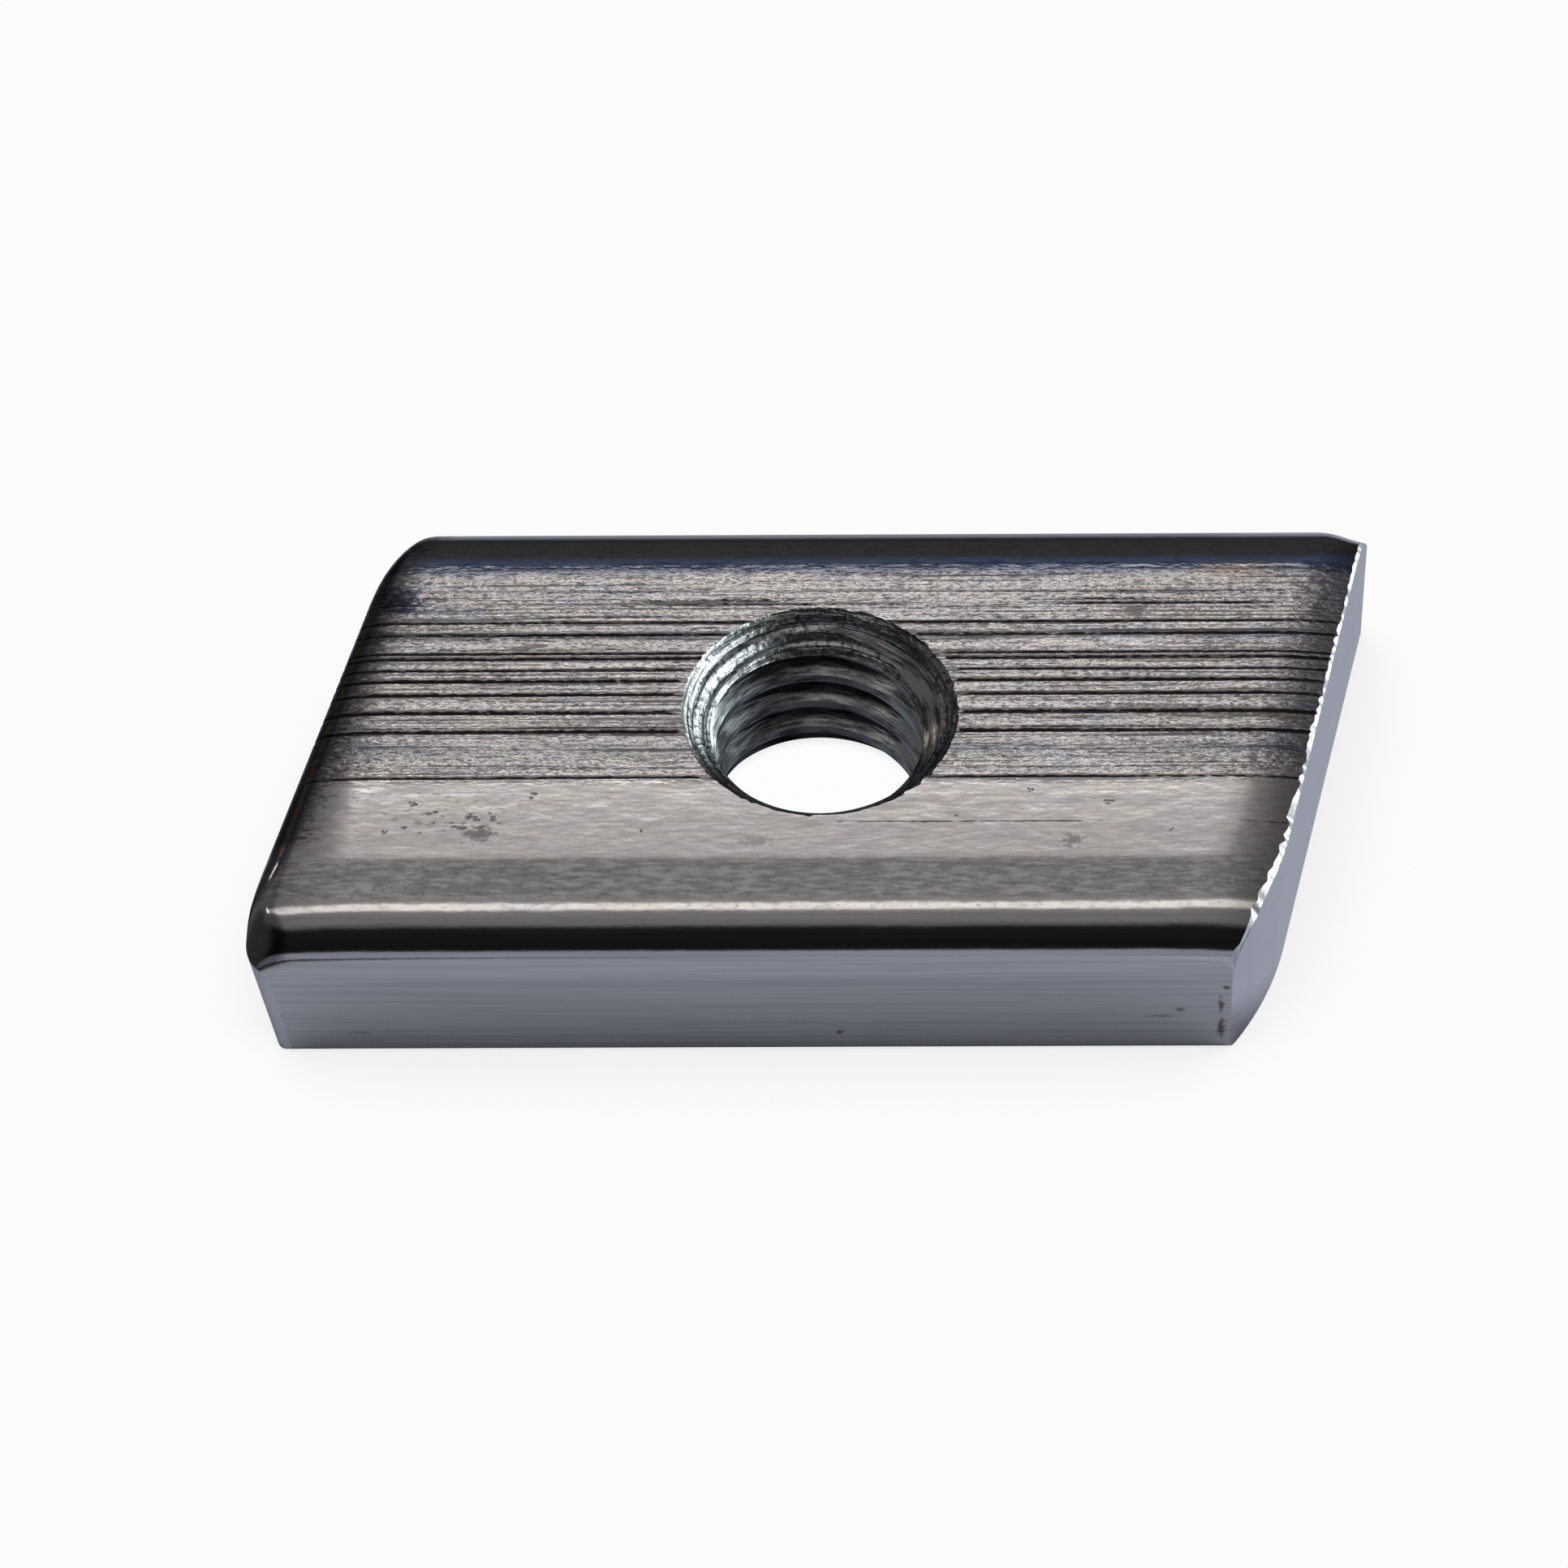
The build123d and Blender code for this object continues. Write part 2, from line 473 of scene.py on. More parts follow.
def spot(tree, at, centre, size, edge=0.2):
    """1 inside a ragged blot round a point in millimetres, and 0 outside it."""
    shifted = node(tree, "ShaderNodeVectorMath", {0: at, 1: [-c * MM for c in centre]}, operation="ADD")
    scaled = node(tree, "ShaderNodeVectorMath", {0: shifted.outputs[0], 1: [1 / (s * MM) for s in size]},
                  operation="MULTIPLY")
    reach = node(tree, "ShaderNodeVectorMath", {0: scaled.outputs[0]}, operation="LENGTH").outputs["Value"]
    rough = maths(tree, "MULTIPLY_ADD", grain(tree, at, (5.0, 5.0, 5.0), 4.0).outputs[0], 2.4, -1.2)
    return between(tree, maths(tree, "ADD", reach, rough), 1.2, edge)


on_top = between(tree, height, 5.3, 5.75)
scored = maths(tree, "MULTIPLY", between(tree, across, -3.2, -2.5), between(tree, across, 6.6, 5.9))
scored = maths(tree, "MULTIPLY", scored, on_top)
smooth_part = maths(tree, "MULTIPLY", maths(tree, "SUBTRACT", 1.0, scored), on_top)
streaks = grain(tree, at, (0.12, 7.5, 7.5), 3.0).outputs[0]
grit = grain(tree, at, (3.2, 9.0, 9.0), 6.0).outputs[0]
rough = grain(tree, at, (1.5, 3.2, 3.2), 5.0).outputs[0]
flakes = grain(tree, at, (3.5, 10.0, 10.0), 5.0).outputs[0]
patches = grain(tree, at, (0.30, 0.9, 0.9), 2.0).outputs[0]
speckle = grain(tree, at, (6.0, 8.0, 8.0), 4.0).outputs[0]
smudge = grain(tree, at, (1.6, 7.5, 7.5), 4.0).outputs[0]
sway = grain(tree, at, (0.7, 1.6, 1.6), 3.0).outputs[0]

# %% The drawn skin: colour
# The lines are painted dark along their grooves: dirt in them, and painted shade.
line_mark = node(tree, "ShaderNodeAttribute", attribute_name="scoring").outputs["Fac"]
ragged = maths(tree, "MULTIPLY_ADD", maths(tree, "SUBTRACT", flakes, 0.5), 1.1, line_mark)
grime_and_shade = ramp(tree, ragged, (0.33, 0.0), (0.58, 1.0))
# Long thin streaks lie between the lines with ragged edges, and grit lies in between those.
long_mark = maths(tree, "MULTIPLY_ADD", maths(tree, "SUBTRACT", grit, 0.5), 0.35, streaks)
long_mark = maths(tree, "MULTIPLY", ramp(tree, long_mark, (0.555, 0.0), (0.625, 1.0)), scored)
grit_mark = maths(tree, "MULTIPLY", ramp(tree, grit, (0.36, 1.0), (0.45, 0.0)), ramp(
    tree, patches, (0.35, 0.3), (0.60, 1.0)))
grit_mark = maths(tree, "MULTIPLY", grit_mark, scored)
dots = maths(tree, "MULTIPLY", ramp(tree, speckle, (0.60, 0.0), (0.72, 1.0)), on_top)
dark = maths(tree, "MAXIMUM", grime_and_shade, maths(tree, "MULTIPLY", long_mark, 0.62))
dark = maths(tree, "MAXIMUM", dark, maths(tree, "MULTIPLY", grit_mark, 0.55))
dark = maths(tree, "MAXIMUM", dark, maths(tree, "MULTIPLY", dots, 0.40))
blots = [((-10.6, -5.1, 6.0), (0.70, 0.45, 0.5), 0.65), ((-2.0, -5.4, 6.0), (0.75, 0.42, 0.5), 0.45),
         ((7.8, -5.4, 6.0), (0.50, 0.36, 0.5), 0.60), ((10.2, 4.2, 6.0), (0.55, 0.50, 0.5), 0.60),
         ((-12.5, -4.6, 6.0), (0.22, 0.12, 0.5), 0.5),
         ((0.6, -9.0, 0.95), (0.16, 0.5, 0.14), 0.7), ((12.55, -9.0, 3.1), (0.17, 0.5, 0.12), 0.8),
         ((12.45, -9.0, 2.3), (0.11, 0.5, 0.45), 0.75), ((12.5, -9.0, 1.1), (0.16, 0.5, 0.5), 0.75),
         ((11.2, -9.0, 2.0), (0.20, 0.5, 0.12), 0.55), ((10.6, -9.0, 1.7), (0.5, 0.5, 0.07), 0.45),
         ((-14.4, -9.0, 1.0), (0.45, 0.5, 0.06), 0.4), ((-17.2, -9.0, 1.2), (0.5, 0.6, 1.0), 0.35)]
# Painted shade darkens the bend along the left end, behind the smooth stretch.
from_left = maths(tree, "ADD", maths(tree, "MULTIPLY_ADD", along, end_normal[0], half_across), maths(
    tree, "MULTIPLY", across, end_normal[1]))
from_left = maths(tree, "MULTIPLY_ADD", maths(tree, "SUBTRACT", flakes, 0.5), 2.2, from_left)
bend_shade = maths(tree, "MULTIPLY", between(tree, from_left, 1.9, 0.7), between(tree, across, -5.9, -5.2))
dark = maths(tree, "MAXIMUM", dark, maths(tree, "MULTIPLY", bend_shade, 0.85))
# Shallow pitting crowds one stretch of the smooth skin, and is thin elsewhere on it.
pocks = ramp(tree, grain(tree, at, (2.6, 5.5, 5.5), 5.0).outputs[0], (0.54, 0.0), (0.66, 1.0))
crowd = spot(tree, at, (-11.4, -4.5, 6.0), (2.6, 1.0, 1.0))
pocks = maths(tree, "MULTIPLY", maths(tree, "MULTIPLY", pocks, smooth_part), maths(
    tree, "MULTIPLY_ADD", crowd, 0.50, 0.22))
dark = maths(tree, "MAXIMUM", dark, pocks)
for centre, size, strength in blots:
    dark = maths(tree, "MAXIMUM", dark, maths(tree, "MULTIPLY", spot(tree, at, centre, size), strength))
# The plate's tints run from straw and green to blue and pink, in patches a millimetre or two across.
warmth = grain(tree, at, (0.5, 1.3, 1.3), 3.0).outputs[0]
second = grain(tree, at, (0.7, 2.0, 2.0), 2.0).outputs[0]
tint = ramp(tree, warmth, (0.36, (0.78, 0.79, 0.83)), (0.47, (0.82, 0.80, 0.79)), (0.56, (0.84, 0.80, 0.75)),
            (0.66, (0.80, 0.82, 0.76)))
tint = tinted(tree, ramp(tree, second, (0.52, 0.0), (0.66, 0.6)), tint, (0.85, 0.77, 0.80))
plain = tinted(tree, ramp(tree, streaks, (0.44, 0.0), (0.60, 1.0)), (0.80, 0.795, 0.795), (0.70, 0.70, 0.71))
tint = tinted(tree, on_top, plain, tint)
worn = tinted(tree, maths(tree, "MULTIPLY", ramp(tree, streaks, (0.40, 0.5), (0.50, 0.0)), scored), tint,
              (0.62, 0.61, 0.62))
# The unscored skin has soft smudges instead, strongest where it starts to fall away to the rolled edge.
falling = maths(tree, "MULTIPLY", between(tree, across, -5.9, -6.3), between(tree, across, -7.5, -7.3))
soft = ramp(tree, smudge, (0.40, (0.64, 0.63, 0.63)), (0.50, (0.78, 0.775, 0.775)), (0.62, (1.0, 1.0, 1.0)))
softened = maths(tree, "MULTIPLY", smooth_part, maths(tree, "MULTIPLY_ADD", falling, 0.62, 0.38))
worn = tinted(tree, softened, worn, soft)
# A painted dark blue reflection starts where the skin falls away to the back edge.
back_reflection_place = maths(tree, "MULTIPLY_ADD", maths(tree, "SUBTRACT", rough, 0.5), 0.9, across)
painted_back_reflection = maths(tree, "MULTIPLY", between(tree, back_reflection_place, 5.60, 6.10), between(tree, back_reflection_place, 6.50, 6.20))
worn = tinted(tree, maths(tree, "MULTIPLY", painted_back_reflection, 0.85), worn, (0.28, 0.33, 0.44))
# Two broad stains run with the lines.
off_front = maths(tree, "ABSOLUTE", maths(tree, "ADD", across, 1.6))
off_back = maths(tree, "ABSOLUTE", maths(tree, "SUBTRACT", across, 3.15))
stain = maths(tree, "MAXIMUM", ramp(tree, off_front, (0.1, 1.0), (0.45, 0.0)), ramp(
    tree, off_back, (0.1, 1.0), (0.4, 0.0)))
stain = maths(tree, "MULTIPLY", stain, on_top)
stain = maths(tree, "MULTIPLY", stain, ramp(tree, patches, (0.35, 0.1), (0.6, 0.8)))
worn = tinted(tree, stain, worn, (0.40, 0.43, 0.48))
for centre, size, strength, shade in (((-13.5, 4.7, 6.0), (0.9, 0.8, 0.8), 0.95, (0.06, 0.09, 0.19)),
                                      ((13.4, 6.0, 6.0), (1.6, 0.5, 0.8), 0.55, (0.80, 0.62, 0.46))):
    worn = tinted(tree, maths(tree, "MULTIPLY", spot(tree, at, centre, size), strength), worn, shade)
# The dark colour takes in painted shade in the grooves and the left bend, with dirt, streaks, pits and blots.
tree.links.new(tinted(tree, dark, worn, (0.040, 0.032, 0.034)), shader.inputs["Base Color"])

# %% The drawn skin: gloss and relief
tree.links.new(maths(tree, "MULTIPLY_ADD", dark, 0.25, 0.10), shader.inputs["Roughness"])
coarse = maths(tree, "MULTIPLY", scored, maths(tree, "MAXIMUM", between(tree, across, 3.6, 4.4), between(
    tree, across, -1.0, -1.5)))


def centred(tree, noise, share):
    """A noise about zero, in a share of the skin, so that the share's edge adds no slope of its own."""
    return maths(tree, "MULTIPLY", maths(tree, "SUBTRACT", noise, 0.5), share)


gritty = maths(tree, "MULTIPLY_ADD", scored, 0.99, 0.01)
roughened = maths(tree, "MULTIPLY_ADD", coarse, 0.8, maths(tree, "MULTIPLY", scored, 0.20))
normal = raised(tree, sway, 0.005)
normal = raised(tree, centred(tree, streaks, scored), 0.012, normal)
normal = raised(tree, centred(tree, grit, gritty), 0.019, normal)
normal = raised(tree, centred(tree, rough, roughened), 0.028, normal)
tree.links.new(normal, shader.inputs["Normal"])

# %% The sheared ends
sheared_end, tree, shader, at = finish_tree("sheared_end", (0.82, 0.83, 0.85), 0.2)
rub = grain(tree, at, (3.0, 3.0, 0.5), 4.0).outputs[0]
cloud = grain(tree, at, (0.5, 0.5, 0.5), 3.0).outputs[0]
clouded = ramp(tree, cloud, (0.35, 0.0), (0.65, 1.0))
tree.links.new(tinted(tree, clouded, (0.78, 0.79, 0.82), (0.84, 0.85, 0.87)), shader.inputs["Base Color"])
tree.links.new(raised(tree, rub, 0.003), shader.inputs["Normal"])

# %% The pits
pitted, tree, shader, at = finish_tree("pitted", (0.70, 0.68, 0.67), 0.4)
rub = grain(tree, at, (9.0, 9.0, 9.0), 3.0).outputs[0]
tree.links.new(raised(tree, rub, 0.02), shader.inputs["Normal"])

# %% The torn lip
torn_lip, tree, shader, at = finish_tree("torn_lip", (0.94, 0.95, 0.95), 0.35)
rub = grain(tree, at, (9.0, 9.0, 9.0), 2.0).outputs[0]
tree.links.new(raised(tree, rub, 0.008), shader.inputs["Normal"])


# %% The countersinks and the thread
def round_hole(tree, at, per_turn, per_millimetre):
    """A noise drawn out round the hole, as a turning tool leaves it."""
    parts = node(tree, "ShaderNodeSeparateXYZ", {0: at})
    level = node(tree, "ShaderNodeCombineXYZ", {0: parts.outputs[0], 1: parts.outputs[1]}).outputs[0]
    radius = node(tree, "ShaderNodeVectorMath", {0: level}, operation="LENGTH").outputs["Value"]
    turn = node(tree, "ShaderNodeVectorMath", {0: level}, operation="NORMALIZE").outputs[0]
    turn = node(tree, "ShaderNodeSeparateXYZ", {0: turn})
    where = node(tree, "ShaderNodeCombineXYZ", {
        0: maths(tree, "MULTIPLY", turn.outputs[0], per_turn),
        1: maths(tree, "MULTIPLY", turn.outputs[1], per_turn),
        2: maths(tree, "MULTIPLY", maths(tree, "ADD", radius, parts.outputs[2]), per_millimetre / MM)})
    noise = node(tree, "ShaderNodeTexNoise", {"Vector": where.outputs[0], "Scale": 1.0, "Detail": 4.0})
    return noise.outputs[0]


turned_sink, tree, shader, at = finish_tree("turned_sink", (0.78, 0.81, 0.82), 0.22)
rings = round_hole(tree, at, 2.5, 5.0)
nicks = grain(tree, at, (5.0, 5.0, 5.0), 4.0).outputs[0]
rubbed = maths(tree, "MAXIMUM", ramp(tree, rings, (0.50, 0.0), (0.66, 1.0)), ramp(
    tree, nicks, (0.51, 0.0), (0.63, 0.85)))
tree.links.new(tinted(tree, rubbed, (0.74, 0.78, 0.79), (0.13, 0.14, 0.14)), shader.inputs["Base Color"])
normal = raised(tree, rings, 0.030)
tree.links.new(raised(tree, nicks, 0.030, normal), shader.inputs["Normal"])

cut_thread, tree, shader, at = finish_tree("cut_thread", (0.6, 0.63, 0.65), 0.2)
rings = round_hole(tree, at, 3.0, 4.0)
dim = ramp(tree, rings, (0.47, 0.0), (0.62, 1.0))
bright = tinted(tree, dim, (0.80, 0.86, 0.87), (0.20, 0.21, 0.22))
# The far wall of the hole is painted darker: painted shade in the hole.
far_wall_shade = between(tree, node(tree, "ShaderNodeSeparateXYZ", {0: at}).outputs[1], 0.0020, 0.0034)
tree.links.new(tinted(tree, far_wall_shade, bright, tinted(tree, dim, (0.30, 0.30, 0.31), (0.09, 0.085, 0.09))),
               shader.inputs["Base Color"])
tree.links.new(raised(tree, rings, 0.030), shader.inputs["Normal"])

# %% [markdown]
# ## Cutting the nut
# The bar and the tools are closed meshes, so the booleans can be exact. The bar is kept where the rhombus is,
# and then loses the lip, the pits, the tap's body and both countersinks. Each new face keeps the material of
# the tool that made it.

# %% The bar and the shear's rhombus
bar = piece("bar", bar_points, bar_faces, drawn_skin)
bar.data.attributes.new("scoring", "FLOAT", "POINT").data.foreach_set("value", bar_scoring.astype(np.float32))
rhombus = piece("rhombus", rhombus_points, rhombus_faces, sheared_end)

# %% The tap's body
tap = piece("tap", [], [], cut_thread)
modifier = tap.modifiers.new("tap", "NODES")
modifier.node_group = tap_tree()
modifier.node_group.nodes["finish"].inputs["Material"].default_value = cut_thread
set_inputs(modifier, **{"Core Radius": core_radius * MM, "Major Radius": thread_major_radius * MM,
                        "Pitch": thread_pitch * MM, "First Crest": first_crest * MM, "Tear": thread_tear * MM,
                        "Columns": 128, "Turns": turns_cut})
tap = close_ends(settled(tap))


# %% The countersinks' bodies
def sink(name, rim_radius, face, up):
    """A 90 degree cone whose turning rings and torn rim are in the mesh."""
    slope = np.linspace(0, 1, 64)
    turn = np.linspace(0, 2 * pi, 160, endpoint=False)
    radius = 2.9 + slope * 1.9
    rings = 0.008 * waves(slope * 1.9, 21, 0.06)[:, None] * (1 + waves(turn * 4.4, 24, 1.4)[None, :])
    for step in (3.62, 3.98):
        rings = rings + 0.035 * np.exp(-((radius - step) / 0.035) ** 2)[:, None]
    tear = 0.055 * waves(turn * 4.4, 22, 0.12)[None, :] * np.abs(waves(turn * 4.4, 23, 0.7))[None, :]
    nearness = np.exp(-((radius - rim_radius) / 0.16) ** 2)[:, None]
    offset = rings + tear * nearness
    ring_radius = radius[:, None] + offset
    height = face + up * (radius[:, None] - rim_radius - offset)
    points = np.stack([ring_radius * np.cos(turn), ring_radius * np.sin(turn), height], axis=-1)
    points = points.reshape(-1, 3)
    faces = tube_faces(len(slope), len(turn))
    faces.append(tuple(range(len(turn)))[::-1])
    faces.append(tuple(range(len(points) - len(turn), len(points))))
    if up < 0:
        faces = [face_points[::-1] for face_points in faces]
    return piece(name, points, faces, turned_sink)


top_sink = sink("top_sink", top_sink_radius, thickness, 1)
bottom_sink = sink("bottom_sink", bottom_sink_radius, 0, -1)


# %% [markdown]
# ## The torn edge and the pits
# The shear leaves the right end with a torn lip instead of a roll-over, and knocks leave pits and dents in
# the top. A bump would not break the outline of the edge, so a jagged three-sided strip is cut from it, and
# small flattened balls are cut from the top. The strip follows the rhombus, so it turns the front corner
# with it.

# %% The torn lip's body
def skin_height(x, y):
    """How high the bar's skin is at a point on the right end."""
    over = max((y - back_flat) / back_reach, (-y - flat) / front_reach, 0)
    drop = back_drop if y > 0 else top_edge_radius
    level = thickness - drop * (1 - np.sqrt(max(1 - over ** 2, 0)))
    depth, reach, growth = pulls["right"]
    pulled = depth * np.clip(1 - inset(x, y) / (reach - growth * y), 0, 1.4) ** 2 + lips
    from_tip = np.hypot(x - half_across / cos(end_slant) - half * skew, y - half)
    pulled += tip_drop * np.clip(1 - from_tip / tip_reach, 0, 1) ** 2
    return level - pulled * min(max((level - rise) / top_edge_radius, 0), 1)


path = half_outline(half_across - 0.001, right_tip_radius)
steps = np.concatenate([[0], np.cumsum(np.linalg.norm(np.diff(path, axis=0), axis=1))])
walk = np.arange(0.05, steps[-1] - 1.0, 0.045)
spine = np.column_stack([np.interp(walk, steps, path[:, k]) for k in (0, 1)])
heading = np.gradient(spine, axis=0)
heading /= np.linalg.norm(heading, axis=1)[:, None]
outward = np.column_stack([heading[:, 1], -heading[:, 0]])
widening = np.clip((4.0 - spine[:, 1]) / 12.0, 0, 1)
inward = 0.07 + 0.045 * widening + (0.025 + 0.05 * widening) * waves(walk, 31, 0.24)
inward = inward + 0.03 * waves(walk, 32, 0.8)
downward = 0.07 + 0.06 * widening + (0.025 + 0.04 * widening) * waves(walk, 33, 0.20)
downward = downward + 0.02 * waves(walk, 34, 0.8)
burr = 0.025 * np.exp(-((spine[:, 1] + 7.7) / 0.9) ** 2)
inward, downward = np.maximum(inward + burr, 0.015), np.maximum(downward + burr, 0.02)
crest = np.array([skin_height(*point) for point in spine])
lip_points = []
for point, out, top, inner, lower in zip(spine, outward, crest, inward, downward):
    lip_points.append((*(point - out * inner * 1.25), top + lower * 0.25))
    lip_points.append((*(point + out * inner * 0.25), top - lower * 1.25))
    lip_points.append((*(point + out * 0.5), top + 0.5))
lip_faces = tube_faces(len(spine), 3)
lip_faces += [(2, 1, 0), tuple(range(len(lip_points) - 3, len(lip_points)))]
lip_faces = [face[::-1] for face in lip_faces]
lip = piece("lip", lip_points, lip_faces, torn_lip)


# %% The pits' bodies
def ball(centre, size, seed, around=14, rings=7):
    """Points and faces of a knobbly flattened ball."""
    knobs = np.random.default_rng(seed)
    points = [(centre[0], centre[1], centre[2] - size[2])]
    for level in np.linspace(-pi / 2, pi / 2, rings + 2)[1:-1]:
        for turn in np.linspace(0, 2 * pi, around, endpoint=False):
            swell = 1 + knobs.uniform(-0.18, 0.18)
            points.append((centre[0] + size[0] * swell * cos(level) * cos(turn),
                           centre[1] + size[1] * swell * cos(level) * sin(turn),
                           centre[2] + size[2] * sin(level)))
    points.append((centre[0], centre[1], centre[2] + size[2]))
    last = len(points) - 1
    faces = [(0, 1 + (j + 1) % around, 1 + j) for j in range(around)]
    faces += [tuple(1 + k for k in face) for face in tube_faces(rings, around)]
    faces += [(last, last - around + j, last - around + (j + 1) % around) for j in range(around)]
    return points, faces


# Place on the top face, half length, half width and depth of each pit
pit_list = [(-12.74, -3.87, 0.14, 0.10, 0.06), (-12.06, -4.24, 0.18, 0.09, 0.06),
            (-11.21, -4.81, 0.20, 0.08, 0.06), (-10.85, -4.42, 0.24, 0.10, 0.07),
            (-10.13, -4.49, 0.13, 0.10, 0.06), (-12.9, -4.8, 0.10, 0.07, 0.05),
            (-13.52, -5.0, 0.10, 0.06, 0.05), (-9.0, -3.53, 0.12, 0.10, 0.06),
            (9.1, -3.89, 0.20, 0.09, 0.05), (12.54, -1.49, 0.18, 0.14, 0.06),
            (6.59, -3.38, 0.09, 0.08, 0.05), (-9.34, 2.73, 0.50, 0.13, 0.05),
            (-10.5, 2.9, 0.30, 0.09, 0.05), (-7.73, 5.44, 0.16, 0.10, 0.05),
            (-6.6, 2.2, 0.35, 0.08, 0.05), (-5.6, -5.0, 0.08, 0.06, 0.05), (4.2, -4.4, 0.07, 0.05, 0.05),
            (10.9, -5.0, 0.08, 0.05, 0.05)]
scatter = np.random.default_rng(12)
pit_sets = []
for part in range(4):
    pit_points, pit_faces = [], []
    for seed, (x_at, y_at, half_length, half_width, depth) in enumerate(pit_list):
        shift = scatter.uniform(-0.9, 0.9, 2) * (half_length, half_width)
        size = np.array([half_length, half_width, depth]) * scatter.uniform(0.45, 0.90)
        middle = (x_at + shift[0], y_at + shift[1], thickness - lips + 0.55 * size[2])
        points, faces = ball(middle, size, 10 * seed + part)
        pit_faces += [tuple(k + len(pit_points) for k in face) for face in faces]
        pit_points += points
    pit_sets.append(piece("pits", pit_points, pit_faces, pitted))


# %% The cuts
def cut(body, tool, operation):
    """Applies one boolean and takes the tool away."""
    modifier = body.modifiers.new("cut", "BOOLEAN")
    modifier.operation = operation
    modifier.object = tool
    modifier.solver = "MANIFOLD"
    modifier.material_mode = "TRANSFER"
    settled(body)
    bpy.data.objects.remove(tool)
    print(operation, len(body.data.polygons), "faces")


nut = bar
nut.name = "slot_nut_steel"
cut(nut, rhombus, "INTERSECT")
cut(nut, lip, "DIFFERENCE")
for pits in pit_sets:
    cut(nut, pits, "DIFFERENCE")
cut(nut, tap, "DIFFERENCE")
cut(nut, top_sink, "DIFFERENCE")
cut(nut, bottom_sink, "DIFFERENCE")
nut.data.shade_smooth()
nut.data.set_sharp_from_angle(angle=radians(30))
finish_of = {}
for face in nut.data.polygons:
    for key in face.edge_keys:
        finish_of.setdefault(key, set()).add(face.material_index)
for edge in nut.data.edges:
    if len(finish_of[edge.key]) > 1:
        edge.use_edge_sharp = True
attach(nut, "root")
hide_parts("slot_nut")

# %% [markdown]
# ## The studio
# Polished metal shows its surroundings more than itself, so the studio is a set of soft lights and dark cards
# placed by what each face reflects. The floor is not lit but glows: it is pale to the camera with a painted
# contact shadow, and it gives the nut a painted reflection of light and shade.

# %% The floor
floor_points = [(-900, -900, 0), (900, -900, 0), (900, 900, 0), (-900, 900, 0)]
pale_floor = bpy.data.materials.new("pale_floor")
pale_floor.use_nodes = True
tree = pale_floor.node_tree
tree.nodes.clear()
rays = node(tree, "ShaderNodeLightPath")
spot_at = node(tree, "ShaderNodeSeparateXYZ", {0: node(tree, "ShaderNodeTexCoord").outputs["Object"]})
shade = node(tree, "ShaderNodeAmbientOcclusion", {"Distance": 6 * MM}).outputs["AO"]
flat_place = node(tree, "ShaderNodeCombineXYZ", {0: spot_at.outputs[0], 1: spot_at.outputs[1]}).outputs[0]
from_axis = node(tree, "ShaderNodeVectorMath", {0: flat_place}, operation="LENGTH").outputs["Value"]
under_hole = between(tree, from_axis, 0.0042, 0.0036)
# Camera rays see the floor glow nearly white, darkened round the nut by a painted contact shadow from the AO
# node, and kept white under the hole.
seen = node(tree, "ShaderNodeEmission", {"Color": tinted(
    tree, under_hole, ramp(tree, shade, (0.3, 0.80), (0.8, 0.97)), (0.98, 0.98, 0.98))})
# Other rays see the floor glow in a painted reflection for the nut: dark far to the left and far back,
# darkened round the nut by a painted contact shadow from the AO node except past the right end, and with a
# painted bright patch under the hole.
painted_glow_strength = maths(tree, "MULTIPLY", between(tree, spot_at.outputs[1], 0.045, 0.010), between(
    tree, spot_at.outputs[0], -0.026, -0.018))
painted_glow_strength = maths(tree, "MULTIPLY_ADD", painted_glow_strength, 0.92, 0.08)
shade = ramp(tree, shade, (0.45, 0.08), (0.60, 0.46), (0.9, 0.92))
past_end = between(tree, spot_at.outputs[0], 0.0125, 0.0150)
painted_glow_strength = maths(tree, "MULTIPLY", painted_glow_strength, maths(tree, "MAXIMUM", shade, maths(tree, "MULTIPLY", past_end, 1.12)))
painted_glow_strength = maths(tree, "MAXIMUM", painted_glow_strength, maths(tree, "MULTIPLY", under_hole, 0.35))
painted_reflection = node(tree, "ShaderNodeEmission", {"Color": (0.30, 0.315, 0.375, 1), "Strength": painted_glow_strength})
both = node(tree, "ShaderNodeMixShader", {0: rays.outputs["Is Camera Ray"], 1: painted_reflection.outputs[0],
                                          2: seen.outputs[0]})
node(tree, "ShaderNodeOutputMaterial", {0: both.outputs[0]})
floor = piece("floor", floor_points, [(0, 1, 2, 3)], pale_floor)


# %% The soft lights
def soft_light(name, direction, distance, size, radiance, colour=(1, 1, 1)):
    """A rectangular light that faces the nut: width and height in metres, and the radiance it shows."""
    lamp = bpy.data.lights.new(name, "AREA")
    lamp.shape = "RECTANGLE"
    lamp.size, lamp.size_y = size
    lamp.color = colour
    lamp.energy = radiance * pi * size[0] * size[1]
    made = bpy.data.objects.new(name, lamp)
    made.location = Vector(direction).normalized() * distance
    made.rotation_euler = (-made.location).to_track_quat("-Z", "Y").to_euler()
    made.visible_camera = False
    bpy.context.scene.collection.objects.link(made)
    return made


def toward(azimuth, elevation):
    """A direction: azimuth in degrees from +Y towards +X, and elevation."""
    azimuth, elevation = radians(azimuth), radians(elevation)
    return sin(azimuth) * cos(elevation), cos(azimuth) * cos(elevation), sin(elevation)


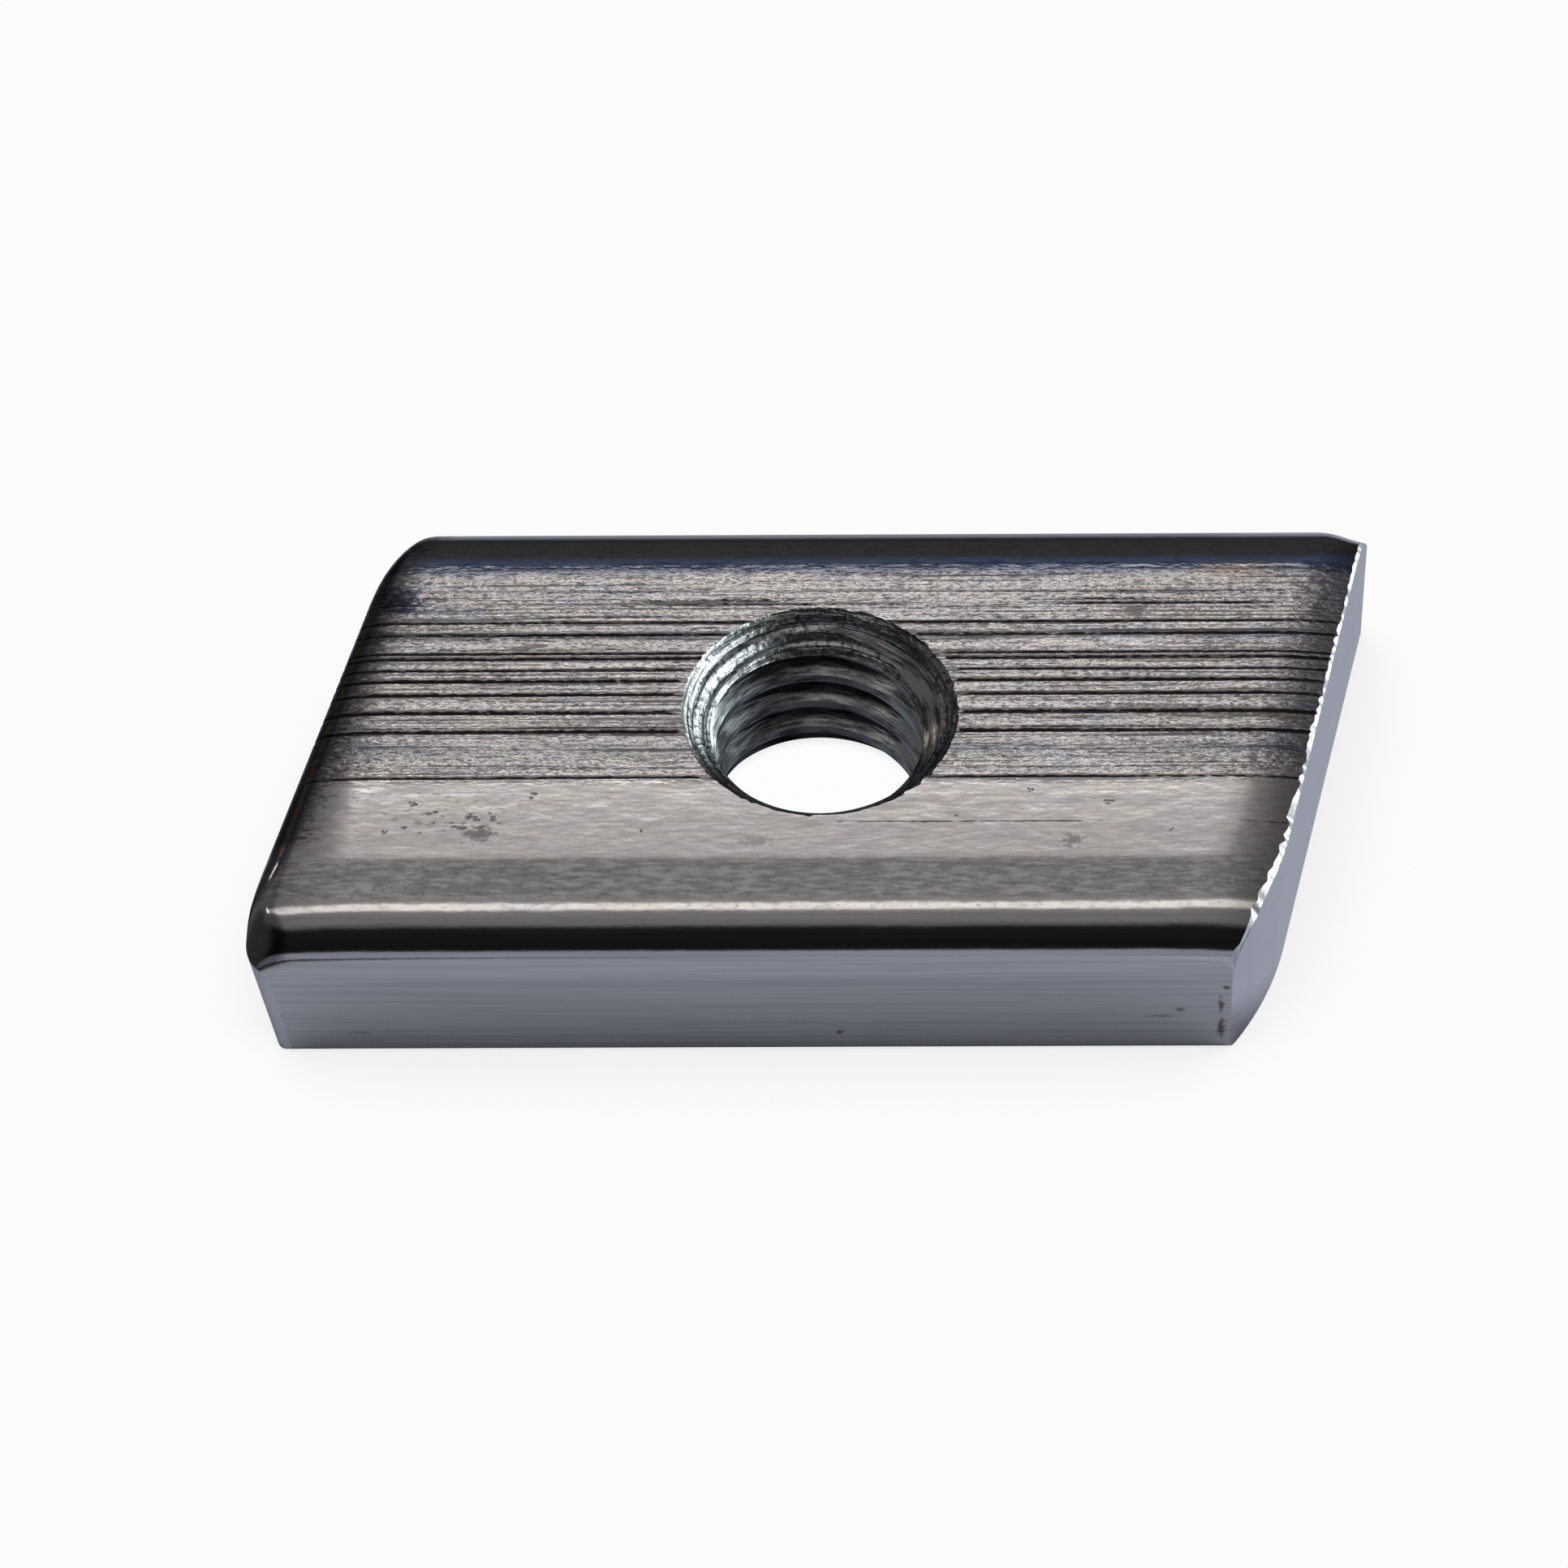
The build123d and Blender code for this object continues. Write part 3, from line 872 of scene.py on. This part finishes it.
soft_light("back_softbox", toward(0, 45.35), 0.6, (0.200, 0.083), 1.2, (1.0, 0.945, 0.905))
soft_light("high_softbox", toward(0, 51.5), 0.6, (0.200, 0.046), 0.15, (1.0, 0.955, 0.925))
soft_light("back_core", toward(0, 43.2), 0.59, (0.190, 0.050), 0.4, (1.0, 0.96, 0.92))
soft_light("right_softbox", toward(48, 15), 0.6, (0.26, 0.34), 1.6, (0.90, 0.98, 1.0))
soft_light("lip_softbox", toward(83, 12), 0.6, (0.44, 0.32), 2.2, (0.95, 0.99, 1.0))
soft_light("corner_card", toward(113, 25), 0.6, (0.16, 0.22), 2.2, (0.95, 0.99, 1.0))
soft_light("warm_card", toward(-46, 22), 0.6, (0.09, 0.07), 0.9, (1.0, 0.80, 0.68))
soft_light("left_strip", (-0.5, -0.22, 0.84), 0.6, (0.14, 0.05), 1.1, (1.0, 0.96, 0.92))

# %% The studio's walls
world = bpy.data.worlds.new("studio")
bpy.context.scene.world = world
world.use_nodes = True
tree = world.node_tree
tree.nodes.clear()
rays = node(tree, "ShaderNodeLightPath")
where = node(tree, "ShaderNodeSeparateXYZ", {0: node(tree, "ShaderNodeTexCoord").outputs["Generated"]})
swing = maths(tree, "DIVIDE", maths(tree, "ARCTAN2", where.outputs[2], where.outputs[1]), pi)
lane = ramp(
    tree, swing, (0.0, (0.034, 0.030, 0.032)), (0.135, (0.036, 0.034, 0.038)), (0.150, (0.038, 0.050, 0.082)),
    (0.178, (0.050, 0.074, 0.130)), (0.226, (0.085, 0.095, 0.13)), (0.275, (0.22, 0.21, 0.21)),
    (0.562, (0.235, 0.228, 0.228)), (0.570, (0.98, 0.93, 0.89)), (0.606, (0.98, 0.93, 0.89)),
    (0.615, (0.20, 0.19, 0.19)), (0.70, (0.17, 0.16, 0.165)), (0.738, 0.011), (0.925, 0.006),
    (0.94, (0.26, 0.27, 0.33)))
depth_place = maths(tree, "MULTIPLY_ADD", where.outputs[1], 0.5, 0.5)
right_wall = ramp(tree, depth_place, (0.10, (0.07, 0.075, 0.075)), (0.26, (0.16, 0.175, 0.175)),
                  (0.55, (0.40, 0.43, 0.44)), (0.80, (0.34, 0.36, 0.37)))
left_wall = ramp(tree, depth_place, (0.10, (0.022, 0.020, 0.020)), (0.40, (0.03, 0.028, 0.028)),
                 (0.62, (0.09, 0.083, 0.080)), (0.84, 0.022))
overhead = between(tree, where.outputs[2], 0.55, 0.85)
side_wall = tinted(tree, between(tree, where.outputs[0], -0.05, 0.05), left_wall, right_wall)
side_wall = tinted(tree, overhead, side_wall, (0.09, 0.09, 0.092))
off_axis = maths(tree, "ABSOLUTE", where.outputs[0])
dim_lane = tinted(tree, between(tree, off_axis, 0.12, 0.28), lane, tinted(tree, 0.66, lane, (0, 0, 0)))
wall = tinted(tree, between(tree, off_axis, 0.40, 0.58), dim_lane, side_wall)
dim = node(tree, "ShaderNodeBackground", {"Color": wall, "Strength": 1.0})
seen = node(tree, "ShaderNodeBackground", {"Color": (0.97, 0.97, 0.97, 1)})
both = node(tree, "ShaderNodeMixShader", {0: rays.outputs["Is Camera Ray"], 1: dim.outputs[0],
                                          2: seen.outputs[0]})
node(tree, "ShaderNodeOutputWorld", {0: both.outputs[0]})
bpy.context.scene.view_settings.view_transform = "Standard"

# %% The camera
pitch, yaw, roll = radians(49.364), radians(-0.685), radians(-0.749)
target = Vector((-1.119, -3.102, thickness)) * MM
camera_distance = 163.55 * MM
forward = Vector((sin(yaw) * cos(pitch), cos(yaw) * cos(pitch), -sin(pitch)))
level_right = Vector((cos(yaw), -sin(yaw), 0))
level_up = level_right.cross(forward)
right = level_right * cos(roll) + level_up * sin(roll)
up = level_up * cos(roll) - level_right * sin(roll)
lens = bpy.data.cameras.new("camera")
lens.lens = 120.05
lens.sensor_width = 36
lens.clip_start = 0.01
camera = bpy.data.objects.new("camera", lens)
place = Matrix((right, up, -forward)).transposed().to_4x4()
place.translation = target - forward * camera_distance
camera.matrix_world = place
bpy.context.scene.collection.objects.link(camera)
bpy.context.scene.camera = camera
